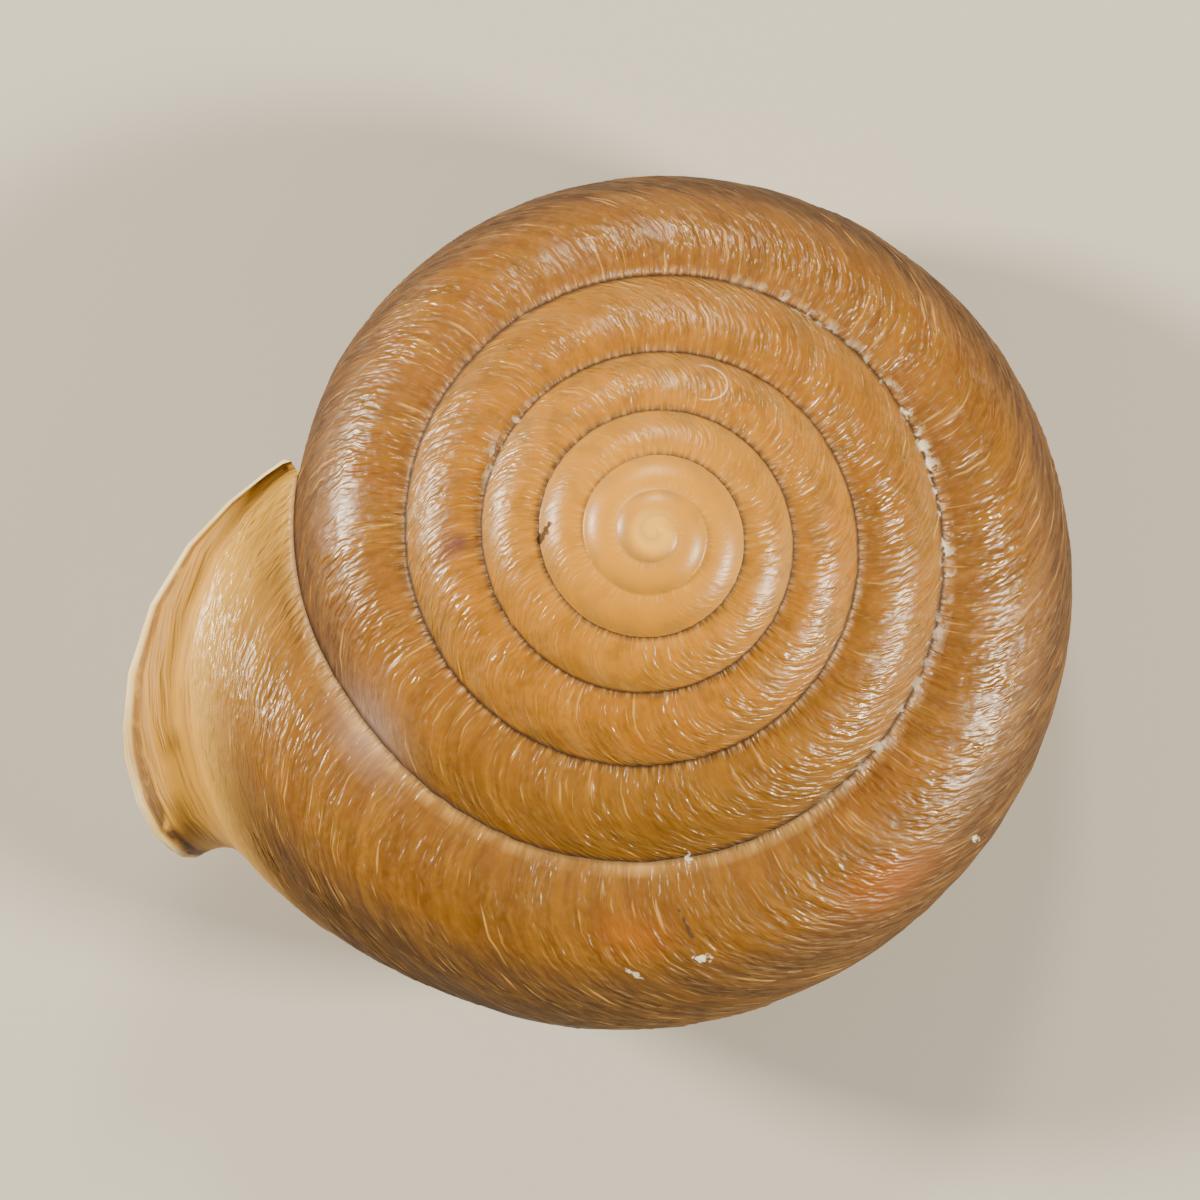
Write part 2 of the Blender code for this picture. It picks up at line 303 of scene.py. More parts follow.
@dataclass(frozen=True)
class GrowthLines:
    """Lines of growth: columns of the mesh that start at the seam and lean back outwards."""

    coil: Coil
    per_whorl: int = 960
    turns: float = 6.5
    lean: float = 48.0
    lean_power: float = 2.5
    covered_lean: float = 15.0
    mouth_trim: float = 20.5
    mouth_trim_end: float = 140.0
    mouth_trim_whorls: float = 8.0 / 48.0
    top_shares: tuple[float, ...] = (0.0, 0.02, 0.09, 0.24, 0.42, 0.61, 0.79, 0.93, 1.0)
    under_rows: int = 25
    early_growth: float = -3.0

    @property
    def last(self) -> int:
        """Column at the mouth."""
        return round(self.turns * self.per_whorl)

    @property
    def shift(self) -> int:
        """Columns from a point of the seam to the growth line that starts there on the next whorl."""
        return self.per_whorl - round(self.covered_lean * self.per_whorl / WHOLE_TURN)

    @property
    def free(self) -> int:
        """First column whose underside is not covered by the next whorl."""
        return self.last - self.shift

    @property
    def top(self) -> int:
        """Row of the next whorl's seam."""
        return len(self.top_shares) - 1

    @property
    def rows(self) -> int:
        """Last row, at the navel."""
        return self.top + self.under_rows

    def degrees(self, column: Array) -> Array:
        """Columns counted in degrees of the coil's turn."""
        return column * WHOLE_TURN / self.per_whorl

    def behind(self, column: Array) -> Array:
        """Whorls from a column to the mouth."""
        return (self.last - column) / self.per_whorl

    def under_share(self, row: Array) -> Array:
        """Share of the way from the next whorl's seam to the navel."""
        return (row - self.top) / self.under_rows

    def row_angle(self, x: Array, row: Array) -> Array:
        """Profile angle of a row, counted from the seam to the navel."""
        covered = self.coil.covered_angle(x)
        upper = covered * np.array(self.top_shares)[np.minimum(row, self.top)]
        return np.where(row <= self.top, upper, covered + (NAVEL - covered) * self.under_share(row))

    def nominal(self, row: Array) -> Array:
        """Profile angle of a row away from the mouth."""
        return self.row_angle(np.full(np.shape(row), self.early_growth), row)

    def growth(self, column: Array, row: Array) -> Array:
        """Growth at a row of a column, with the lean of the line and the trim at the mouth."""
        angle = self.nominal(row)
        reach = self.coil.covered / (-math.log(1.0 - self.covered_lean / self.lean)) ** (1.0 / self.lean_power)
        lean = self.lean * (1.0 - np.exp(-((angle / reach) ** self.lean_power)))
        near = ease(1.0 - self.behind(column) / self.mouth_trim_whorls)
        trim = self.mouth_trim * np.sin(np.pi * np.minimum(angle / self.mouth_trim_end, 1.0))
        return self.coil.last_growth - self.behind(column) - (lean + trim * near) / WHOLE_TURN


@dataclass
class Surface:
    """A sheet of points with what its finish needs to know at each point."""

    points: Array
    growth_mm: Array
    place: Array
    marks: dict[str, Array] = field(default_factory=dict)


@dataclass(frozen=True)
class Relief:
    """Ribs, folds, dents and the groove of the seam, all carved into the skin."""

    lines: GrowthLines
    depth: float = 0.02
    rib: float = 0.045
    fold: float = 0.040
    dent: float = 0.045
    seam_groove: float = 0.05
    seam_wave: float = 0.05
    start: float = -4.7
    grown_after: float = 3.4
    rib_columns: tuple[int, ...] = (3, 4, 4, 5, 6)
    rib_section: tuple[float, ...] = (0.35, 1.0, 0.35)
    wander: float = 1.6
    deepest_wave: float = 1.6
    quiet_mouth: float = 16.0

    def crest(self, columns: int) -> Array:
        """Height of the rib at each column, from 0 to 1, with uneven spacing and height."""
        chance = np.random.default_rng(11)
        heights = np.zeros(columns)
        column = 0
        while column < columns:
            heights[column] = chance.uniform(0.35, 1.0)
            column += int(chance.choice(self.rib_columns))
        return np.convolve(heights, self.rib_section, mode="same").clip(0.0, 1.0)

    def carve(self, column: Array, row: Array, x: Array, angle: Array) -> Pair:
        """Depth of the relief below the plain form.

        Args:
            column: column of each point.
            row: row of each point.
            x: growth at each point.
            angle: profile angle at each point.

        Returns:
            The displacement, never above 0, and the height of the ribs from 0 to 1.
        """
        lines = self.lines
        degrees = lines.degrees(column)
        age = lines.coil.growth ** np.minimum(x, 0.0)
        grown = ease((x - self.start) / self.grown_after)
        wander = Chance(9).field(degrees, angle, 6.0, 16.0) * self.wander
        crest = self.crest(lines.last + 1)[np.clip(np.rint(column + wander), 0, lines.last).astype(int)]
        patch = 0.42 + 0.75 * Chance(3).field(degrees, angle, 9.0, 22.0)
        fine = 0.60 + 0.40 * Chance(4).field(degrees, angle, 1.7, 9.0)
        share = angle / lines.coil.covered_angle(x)
        covered_low = np.where(column < lines.free, ease((1.0 - share) / 0.18), 1.0)
        crest = crest * np.clip(patch * fine * 1.6, 0.05, 1.0) * ease(share / 0.32) * covered_low
        mouth = 0.25 + 0.75 * ease(lines.degrees(lines.last - column) / self.quiet_mouth)
        ribs = self.rib * mouth * (crest - 1.0) * age * grown * (0.35 + 0.65 * ease((x + 2.3) / 1.2))
        wave = Chance(5).line(degrees + angle * 0.05, 4.3) + 0.6 * Chance(6).line(degrees, 2.1)
        folds = self.fold * (0.35 + 0.65 * hump(angle, 95.0, 55.0)) * age * ease((x + 2.4) / 1.2)
        folds = folds * (wave - self.deepest_wave) / self.deepest_wave
        dents = self.dent * (Chance(7).field(degrees, angle, 14.0, 20.0) - 1.0) * age * grown
        at_seam = (row == 0) | ((row == lines.top) & (column < lines.free))
        carved = np.where(at_seam, -self.seam_groove * age * grown, ribs + folds + dents)
        return carved - self.depth, crest


@dataclass(frozen=True)
class Mark:
    """A patch on the skin seen from above, placed where the real one has it."""

    pixel: tuple[float, float]
    length: float
    width: float
    turn: float = 0.0
    strength: float = 1.0

    @property
    def middle(self) -> tuple[float, float]:
        """Middle of the patch as the camera sees it, in millimetres right of and above the apex."""
        return (self.pixel[0] - APEX_PIXEL[0]) * PHOTO_PIXEL, (APEX_PIXEL[1] - self.pixel[1]) * PHOTO_PIXEL

    def cover(self, seen: Array) -> Array:
        """How much of the patch is at each point, from 0 to 1."""
        turn = math.radians(self.turn)
        x, y = seen[..., 0] - self.middle[0], seen[..., 1] - self.middle[1]
        along = (x * math.cos(turn) + y * math.sin(turn)) / self.length
        across = (y * math.cos(turn) - x * math.sin(turn)) / self.width
        return self.strength * np.exp(-(along**2 + across**2))


# Soft patches: one value at each point of the mesh is enough for them
PATCHES = {
    "purple": (
        Mark((456.0, 543.0), 0.45, 0.32),
        Mark((443.0, 556.0), 0.3, 0.25, 0.0, 0.5),
        Mark((447.0, 525.0), 0.25, 0.5, 20.0, 0.35),
    ),
    "orange": (
        Mark((868.0, 795.0), 1.5, 0.28, 42.0, 0.8),
        Mark((885.0, 882.0), 1.5, 0.6, 35.0),
        Mark((630.0, 930.0), 1.0, 0.55, 0.0, 0.85),
    ),
    "lilac": (Mark((372.0, 730.0), 1.4, 0.8, 120.0),),
    "groove": (Mark((190.0, 822.0), 1.7, 0.5, -36.0),),
    "deposit": (
        Mark((912.0, 430.0), 2.6, 1.2, 110.0),
        Mark((945.0, 560.0), 2.6, 0.8, 95.0, 0.75),
        Mark((885.0, 720.0), 2.4, 0.8, 60.0, 0.62),
        Mark((800.0, 320.0), 1.6, 0.7, 140.0, 0.6),
        Mark((497.0, 440.0), 1.2, 0.5, 60.0, 0.9),
    ),
}
# Small marks: finer than the mesh, so the finish draws them itself
CHIPS = (
    Mark((688.0, 858.0), 0.09, 0.15, 0.0, 0.9),
    Mark((702.0, 957.0), 0.21, 0.11),
    Mark((634.0, 972.0), 0.22, 0.07, -30.0, 0.65),
    Mark((974.0, 838.0), 0.12, 0.09, 0.0, 0.9),
)
CRACKS = (Mark((543.0, 536.0), 0.34, 0.10, 62.0), Mark((687.0, 926.0), 0.60, 0.06, -66.0, 0.75))
HAIR = Mark((703.0, 384.0), 0.74, 0.53, -12.0, 0.75)

# Each attribute of the mesh holds up to four masks of the skin
MASKS = {
    "skin_marks": ("crest", "seam", "rim", "lip"),
    "skin_zones": ("painted_rim_shade", "olive", "pink", "deposit"),
    "skin_spots": ("purple", "orange", "lilac", "groove"),
    "skin_bands": ("low_band", "grey_ring", "seam_edge", "grown"),
    "skin_core": ("core", "facing", "", ""),
}


@dataclass(frozen=True)
class Outside:
    """The skin of the shell: all its upper whorls and the underside of the last."""

    lines: GrowthLines
    relief: Relief
    run_radius: float = 15.0
    under_start: float = 4.0
    deposit_width: float = 0.22

    def points(self, columns: Array, rows: Array) -> tuple[Array, ...]:
        """Points with their growth, angle and rib height.

        Args:
            columns: column numbers.
            rows: row numbers.

        Returns:
            Points by column and row, growth, angle and rib height.
        """
        lines, coil = self.lines, self.lines.coil
        column, row = np.meshgrid(columns, rows, indexing="ij")
        x = lines.growth(column, row)
        angle = lines.row_angle(x, row)
        wave = self.relief.seam_wave * Chance(8).line(lines.degrees(column), 2.4)
        seam_row = (row == lines.top) & (column < lines.free)
        angle = np.where(seam_row, angle + wave * coil.covered / 4.0, angle)
        carved, crest = self.relief.carve(column, row, x, angle)
        return coil.place(x, coil.offset(x, angle, carved)), x, angle, crest

    def surface(self, first: int, rows: Array, upper: Array | None) -> Surface:
        """Sheet of the outside.

        Args:
            first: first column.
            rows: row numbers.
            upper: points of the upper sheet, whose edge this sheet shares, or None for that sheet.

        Returns:
            The sheet.
        """
        lines = self.lines
        columns = np.arange(first, lines.last + 1)
        points, x, angle, crest = self.points(columns, rows)
        if upper is None:
            points[lines.shift :, 0] = points[: len(points) - lines.shift, lines.top]
        else:
            points[:, 0] = upper[first:, lines.top]
        down = distance_along(points)
        seams = down, np.where(columns[:, None] <= lines.free, down[:, -1:] - down, np.inf)
        if upper is not None:
            down = down + self.under_start
            seams = np.full_like(down, np.inf), np.full_like(down, np.inf)
        growth = lines.coil.last_growth - lines.behind(columns)
        run = 2.0 * np.pi * self.run_radius / math.log(lines.coil.growth) * lines.coil.growth**growth
        growth_mm = np.stack([np.broadcast_to(run[:, None], down.shape), down], axis=-1)
        place = np.stack([(x + 7.0) / 7.2, angle / NAVEL], axis=-1)
        marks = self.marks(points, x, angle, lines.behind(columns[:, None]), seams)
        return Surface(points, growth_mm, place, {"crest": crest, **marks})

    def marks(self, points: Array, x: Array, angle: Array, behind: Array, seams: Pair) -> dict[str, Array]:
        """Masks of the finish.

        Args:
            points: points of the sheet.
            x: growth.
            angle: profile angle.
            behind: whorls to the mouth.
            seams: distances from the upper and to the lower seam.

        Returns:
            One value from 0 to 1 for each point under each name.
        """
        seen = as_seen(points)
        facing = np.where(angle < 110.0, 1.0, 0.0)
        upper, lower = seams
        radius = np.hypot(points[..., 0], points[..., 1])
        turn = (x % 1.0) * WHOLE_TURN
        share = np.clip(angle / self.lines.coil.covered_angle(x), 0.0, 1.0)
        # Painted shade: the rim is darker where the whorl turns away from the light, partly its own deeper brown, and
        # the shade reaches lowest down on the side nearest to the eye, where a little painted shade also lies over the
        # body of the last whorl
        edge = ease((angle - 40.0 + 9.0 * hump(turn, 275.0, 55.0)) / 24.0) * ease((x + 1.25) / 0.3)
        edge = edge * (1.0 - ease((angle - 105.0) / 45.0))
        lower_side_shade = 0.20 * hump(turn, 275.0, 50.0) * ease((x + 1.1) / 0.2) * facing
        ring = hump(radius, 0.95, 0.16) * hump((turn - 300.0 + 180.0) % WHOLE_TURN, 180.0, 110.0)
        curl = hump(upper, 0.0, 0.11) * (1.0 - ease((x + 4.9) / 0.6))
        # Painted highlight: a pale glint line along the edge of the first whorl
        first_edge_glint = hump(upper, 0.06, 0.06) * hump(x, -4.87, 0.15)
        marks = {name: np.clip(sum(mark.cover(seen) for mark in group), 0.0, 1.0) * facing
                 for name, group in PATCHES.items()}
        marks["deposit"] *= hump(np.minimum(upper, lower), 0.0, self.deposit_width)
        return marks | {
            "seam": np.clip(hump(upper, 0.0, 0.10) + hump(lower, 0.0, 0.085), 0.0, 1.0) * ease((x + 4.1) / 0.5),
            "rim": hump(upper, 0.12, 0.10),
            "lip": np.exp(-((behind * 2.0 * np.pi * radius / 2.8) ** 1.5)),
            # Painted shade on the rim and over the lower side
            "painted_rim_shade": np.maximum(edge * (0.90 + 0.10 * hump(turn, 285.0, 60.0)), lower_side_shade),
            "olive": np.maximum(hump(turn, 270.0, 45.0) * hump(x, -1.25, 0.35), 0.6 * hump(x, -0.25, 0.16)),
            "pink": ease((x + 1.7) / 0.8) * np.exp(-upper / 0.9),
            "low_band": ease((share - 0.35) / 0.5) * (1.0 - ease((x + 1.6) / 0.8)),
            "grey_ring": np.maximum(ring, 0.7 * curl),
            # Pale edge along the last seam near the mouth, with the painted highlight on the first whorl's edge
            "seam_edge": np.maximum(hump(upper, 0.10, 0.09) * ease((x + 0.45) / 0.2), first_edge_glint),
            "grown": ease((x + 5.3) / 3.2),
            "core": 1.0 - ease((radius - 0.45) / 0.45),
            "facing": facing,
        }


@dataclass(frozen=True)
class Cavity:
    """The hollow of the last whorl, with the callus on the whorl before and the pillar it winds round."""

    lines: GrowthLines
    wall: float = 0.55
    callus: float = 0.12
    edge_turn: float = 1.5
    navel_turn: float = 10.0
    floor_steepest: float = 0.4
    pillar: float = 2.3
    pillar_share: float = 0.7
    turns: float = 1.3
    end: float = 1.2
    step: float = 2.5
    run_radius: float = 9.0
    place_scale: float = 60.0

    def angle_at_height(self, x: Array, height: Array) -> Array:
        """Profile angle at which the whorl's outside is at a height."""
        low, high = np.zeros_like(x), np.full_like(x, LOWEST)
        for _ in range(30):
            middle = (low + high) / 2.0
            above = self.lines.coil.profile(x, middle)[1] > height
            low, high = np.where(above, middle, low), np.where(above, high, middle)
        return low

    def corner(self, x: Array) -> tuple[Array, Array, Array]:
        """Radius, height and angle on the whorl before, of the upper inner corner."""
        coil = self.lines.coil
        angle = self.angle_at_height(x - 1.0, coil.seam(x)[1] - self.wall)
        return *coil.offset(x - 1.0, angle, self.callus), angle

    def pillar_radius(self, x: Array) -> Array:
        """Radius of the pillar."""
        return self.pillar * self.lines.coil.growth ** np.minimum(x, 0.0)

    def base_angle(self, x: Array, radius: Array) -> Array:
        """Profile angle at a radius between the lowest line of the base and the navel."""
        low = self.lines.coil.lowest(x)
        return LOWEST + (NAVEL - LOWEST) * ((low - radius) / (low - self.lines.coil.navel_radius))

    def floor(self, x: Array, radius: Array) -> Array:
        """Height of the floor near the pillar."""
        angle = self.base_angle(x, radius)
        down = -self.lines.coil.outward(x, angle)[1]
        return self.lines.coil.profile(x, angle)[1] + self.wall / np.maximum(down, self.floor_steepest)

    def outer(self, x: Array, row: Array) -> Array:
        """Points of the wall under the outside, and of the pillar for the last rows."""
        coil = self.lines.coil
        angle = self.lines.row_angle(x, row)
        corner_radius, corner_height, _ = self.corner(x)
        seam_radius, rim_radius = coil.seam(x)[0], coil.rim(x)[0]
        start = np.degrees(np.arcsin((corner_radius - seam_radius) / (rim_radius - seam_radius)))
        under = start + (LOWEST - start) * np.minimum(angle, LOWEST) / LOWEST
        radius, height = coil.offset(x, under, -self.wall)
        share = (angle - LOWEST) / (NAVEL - LOWEST)
        pillar, low_radius = self.pillar_radius(x), coil.lowest(x)
        near = low_radius + (pillar - low_radius) * np.clip(share / self.pillar_share, 0.0, 1.0)
        on_floor = self.floor(x, near)
        roof = coil.offset(x - 1.0, self.base_angle(x - 1.0, pillar), self.callus)[1]
        up = np.clip((share - self.pillar_share) / (1.0 - self.pillar_share), 0.0, 1.0)
        radius = np.where(angle > LOWEST, near, radius)
        height = np.where(angle > LOWEST, on_floor + (roof - on_floor) * up, height)
        radius, height = np.where(row == 0, corner_radius, radius), np.where(row == 0, corner_height, height)
        return coil.place(x, (radius, height))

    def parietal(self, x: Array, row: Array) -> Array:
        """Points of the wall on the whorl before, whose growth is x."""
        top, bottom = self.corner(x + 1.0)[2], self.base_angle(x, self.pillar_radius(x + 1.0))
        angle = top + (bottom - top) * self.lines.under_share(row)
        return self.lines.coil.place(x, self.lines.coil.offset(x, angle, self.callus))

    def surface(self) -> Surface:
        """Rings of the cavity from the mouth inwards, closed at the far end."""
        lines = self.lines
        depth = np.arange(round(self.turns * WHOLE_TURN / self.step) + 1) * self.step / WHOLE_TURN
        outer_rows, inner_rows = np.arange(lines.rows + 1), np.arange(lines.rows - 1, lines.top, -1)
        near = lines.growth(np.full(outer_rows.shape, lines.last), outer_rows)
        outer = self.outer(*np.broadcast_arrays(near - depth[:, None], outer_rows))
        behind = self.edge_turn + self.navel_turn * lines.under_share(inner_rows) ** 3
        near = lines.growth(np.full(inner_rows.shape, lines.free), inner_rows) - behind / WHOLE_TURN
        inner = self.parietal(*np.broadcast_arrays(near - depth[:, None], inner_rows))
        rings = np.concatenate([outer, inner, outer[:, :1]], axis=1)
        middle = rings[-1, :-1].mean(axis=0)
        ahead = middle - rings[-2, :-1].mean(axis=0)
        tip = middle + ahead / np.linalg.norm(ahead) * self.end
        rings = np.concatenate([rings, np.broadcast_to(tip, rings[-1:].shape)])
        inward = np.concatenate([depth, depth[-1:] + 0.02]) * 2.0 * np.pi * self.run_radius
        across = distance_along(rings)
        growth_mm = np.stack([np.broadcast_to(inward[:, None], across.shape), across], axis=-1)
        return Surface(rings, growth_mm, growth_mm / self.place_scale)


@dataclass(frozen=True)
class Lip:
    """Turned-out lip round the mouth."""

    lines: GrowthLines
    cavity: Cavity
    outer: tuple[tuple[float, float], ...] = (
        (0.40, 0.05), (0.78, 0.20), (1.08, 0.44), (1.30, 0.76), (1.44, 1.12), (1.56, 1.50))
    inner: tuple[tuple[float, float], ...] = (
        (1.70, 1.34), (1.66, 0.92), (1.50, 0.42), (1.20, -0.02), (0.75, -0.34), (0.30, -0.49))
    end_width: float = 0.15
    end_reach: float = 0.30
    base_width: float = 0.4
    full_angle: float = 70.0
    fade_angle: float = 60.0
    base_start: float = 85.0
    base_end: float = 170.0
    samples: int = 3
    small_growth: float = 0.01

    def steps(self) -> Array:
        """Section of the lip as a smooth line of (forward, outward, share of the inner start)."""
        turn = len(self.outer)
        knots = [(0.0, 0.0), *self.outer, *self.inner, (0.0, -self.cavity.wall)]
        line = np.array([(*knot, 0.0 if index <= turn else 1.0) for index, knot in enumerate(knots)])
        curves = []
        for index in range(len(line) - 1):
            start, end = line[index], line[index + 1]
            before, after = line[max(index - 1, 0)], line[min(index + 2, len(line) - 1)]
            for t in np.arange(self.samples) / self.samples:
                square = (2 * before - 5 * start + 4 * end - after) * t**2
                cube = (3 * start - before - 3 * end + after) * t**3
                curve = 0.5 * (2 * start + (end - before) * t + square + cube)
                curve[2] = start[2] + (end[2] - start[2]) * t
                curves.append(curve)
        return np.array([*curves, line[-1]])

    def scale(self, row: Array) -> Pair:
        """Width and reach of the lip, narrowing at both ends and under the base."""
        angle = self.lines.nominal(row)
        under = ease((angle - self.base_start) / (self.base_end - self.base_start))
        base = 1.0 - (1.0 - self.base_width) * under
        end = np.minimum(ease(angle / self.full_angle), ease((NAVEL - angle) / self.fade_angle))
        width = (self.end_width + (1.0 - self.end_width) * end) * base
        return width, self.end_reach + (1.0 - self.end_reach) * end

    def directions(self, x: Array, angle: Array, plain: Array) -> Pair:
        """Unit vectors forward and outward at the last growth line.

        Args:
            x: growth along the line.
            angle: profile angle along the line.
            plain: points of the line without relief.

        Returns:
            Both vectors for each point.
        """
        coil, row = self.lines.coil, np.arange(self.lines.rows + 1)
        along = plain[np.minimum(row + 1, self.lines.rows)] - plain[np.maximum(row - 1, 0)]
        along /= np.linalg.norm(along, axis=1, keepdims=True)
        back = x - self.small_growth
        forward = plain - coil.place(back, coil.profile(back, angle))
        forward -= along * (forward * along).sum(axis=1, keepdims=True)
        forward /= np.linalg.norm(forward, axis=1, keepdims=True)
        out = np.cross(along, forward)
        facing = (out * coil.place(x, coil.outward(x, angle))).sum(axis=1, keepdims=True)
        return forward, out * np.where(facing < 0.0, -1.0, 1.0)

    def surface(self, mouth: Array, inside: Array) -> Surface:
        """Sheet of the lip.

        Args:
            mouth: points of the last growth line.
            inside: points of the cavity's first ring under the outside.

        Returns:
            The sheet, by row and then by step.
        """
        coil, lines = self.lines.coil, self.lines
        row = np.arange(lines.rows + 1)
        x = lines.growth(np.full(row.shape, lines.last), row)
        angle = lines.row_angle(x, row)
        plain = coil.place(x, coil.profile(x, angle))
        forward, out = self.directions(x, angle, plain)
        width, reach = self.scale(row)
        steps = self.steps()
        inner = steps[None, :, 2:]
        points = mouth[:, None] * (1.0 - inner) + inside[:, None] * inner
        points = points + forward[:, None] * (steps[:, 0] * reach[:, None])[..., None]
        lift = steps[:, 1] + self.cavity.wall * steps[:, 2]
        points = points + out[:, None] * (lift * width[:, None])[..., None]
        points[:, 0], points[:, -1] = mouth, inside
        around, across = distance_along(plain[None])[0], distance_along(points)
        growth_mm = np.stack([across, np.broadcast_to(around[:, None], across.shape)], axis=-1)
        share = np.broadcast_to(np.linspace(0.0, 1.0, len(steps)), across.shape)
        place = np.stack([share, np.broadcast_to(angle[:, None] / NAVEL, across.shape)], axis=-1)
        return Surface(points, growth_mm, place)


def add_node(tree: bpy.types.NodeTree, kind: str, inputs: dict | None = None, **settings) -> bpy.types.Node:
    """Add a node.

    Args:
        tree: tree that takes the node.
        kind: type of the node, without the leading ShaderNode.
        inputs: values of its inputs or outputs that they are linked to, by name or number.
        settings: attributes of the node.

    Returns:
        The node.
    """
    node = tree.nodes.new("ShaderNode" + kind)
    for name, value in settings.items():
        setattr(node, name, value)
    for name, value in (inputs or {}).items():
        if isinstance(value, Socket):
            tree.links.new(value, node.inputs[name])
        else:
            node.inputs[name].default_value = value
    return node


class Join(Enum):
    """How values are joined into one."""

    PRODUCT = "MULTIPLY"
    SUM = "ADD"
    REST = "SUBTRACT"
    LARGEST = "MAXIMUM"


@dataclass
class Paint:
    """A material being built, layer over layer."""

    name: str
    tree: bpy.types.NodeTree = field(init=False)
    material: bpy.types.Material = field(init=False)

    def __post_init__(self) -> None:
        """Start with an empty material that has its shader."""
        self.material = bpy.data.materials.new(self.name)
        self.material.use_nodes = True
        self.tree = self.material.node_tree

    def node(self, kind: str, inputs: dict | None = None, output: int | str = 0, **settings) -> Socket:
        """Add a node, as add_node does, and give one of its outputs."""
        return add_node(self.tree, kind, inputs, **settings).outputs[output]

    def finish(self, inputs: dict) -> bpy.types.Material:
        """Set or link the inputs of the shader, and give the finished material."""
        shader = self.tree.nodes["Principled BSDF"]
        for name, value in inputs.items():
            if isinstance(value, Socket):
                self.tree.links.new(value, shader.inputs[name])
            else:
                shader.inputs[name].default_value = value
        return self.material

    def join(self, *values: Socket | float, how: Join = Join.PRODUCT) -> Socket:
        """Join values one after the other, as their product unless another way is given."""
        whole = values[0]
        for value in values[1:]:
            whole = self.node("Math", {0: whole, 1: value}, operation=how.value)
        return whole

    def noise(self, source: Socket, scale: tuple[float, float] | float, detail: float, low: float,
              high: float) -> Socket:
        """Irregular pattern between 0 and 1, stretched by its scales.

        Args:
            source: coordinates.
            scale: repeats for each unit, one number for all three ways or two for the surface's own.
            detail: number of finer layers.
            low: value of the plain noise that becomes 0.
            high: value of the plain noise that becomes 1.

        Returns:
            The output of the pattern.
        """
        scales = (scale,) * 3 if isinstance(scale, float) else (*scale, 1.0)
        place = self.node("Mapping", {"Scale": scales, "Vector": source})
        plain = self.node("TexNoise", {"Scale": 1.0, "Detail": detail, "Vector": place})
        return self.node("MapRange", {"Value": plain, "From Min": low, "From Max": high}, **SMOOTH)

    def layer(self, below: Socket, colour: str, cover: Socket, strength: float = 1.0) -> Socket:
        """Lay a colour over what is below it.

        Args:
            below: colour below.
            colour: hex colour of the layer.
            cover: how much of the layer lies at each point.
            strength: share of the cover that is used.

        Returns:
            The colour of both.
        """
        if strength != 1.0:
            cover = self.join(cover, strength)
        return self.node("Mix", {0: cover, 6: below, 7: linear(colour)}, 2, data_type="RGBA")

    def uneven_marks(self, marks: tuple[Mark, ...], seen: Socket, ragged: Socket) -> Socket:
        """Small marks with uneven edges, drawn at their own size.

        Args:
            marks: the marks.
            seen: place as the camera sees it, in millimetres from the apex.
            ragged: pattern between 0 and 1 that makes the edges uneven.

        Returns:
            How much of the marks is at each point.
        """
        uneven = self.join(ragged, 1.2)
        far = [self.join(self.reach(mark, seen), uneven, how=Join.SUM) for mark in marks]
        covers = [self.node("MapRange", {"Value": value, "From Min": 1.9, "From Max": 1.2,
                                         "To Max": mark.strength}, **SMOOTH) for value, mark in zip(far, marks)]
        return self.join(*covers, how=Join.LARGEST)

    def reach(self, mark: Mark, seen: Socket) -> Socket:
        """Distance from the middle of a mark, which is 1 on its edge."""
        frame_of_mark = {"Location": (*mark.middle, 0.0), "Rotation": (0.0, 0.0, math.radians(mark.turn)),
                         "Scale": (mark.length, mark.width, 1.0), "Vector": seen}
        return self.node("VectorMath", {0: self.node("Mapping", frame_of_mark, vector_type="TEXTURE")}, 1,
                         operation="LENGTH")

    def arc(self, mark: Mark, seen: Socket) -> Socket:
        """Right half of the edge of a mark, as a line as thin as a hair."""
        off = self.node("Math", {0: self.join(self.reach(mark, seen), 1.0, how=Join.REST)}, operation="ABSOLUTE")
        line = {"Value": off, "From Min": 0.065, "From Max": 0.01, "To Max": mark.strength}
        half = {"Value": self.node("SeparateXYZ", {0: seen}),
                "From Min": mark.middle[0] - 0.25, "From Max": mark.middle[0] + 0.15}
        return self.join(self.node("MapRange", line, **SMOOTH), self.node("MapRange", half, **SMOOTH))


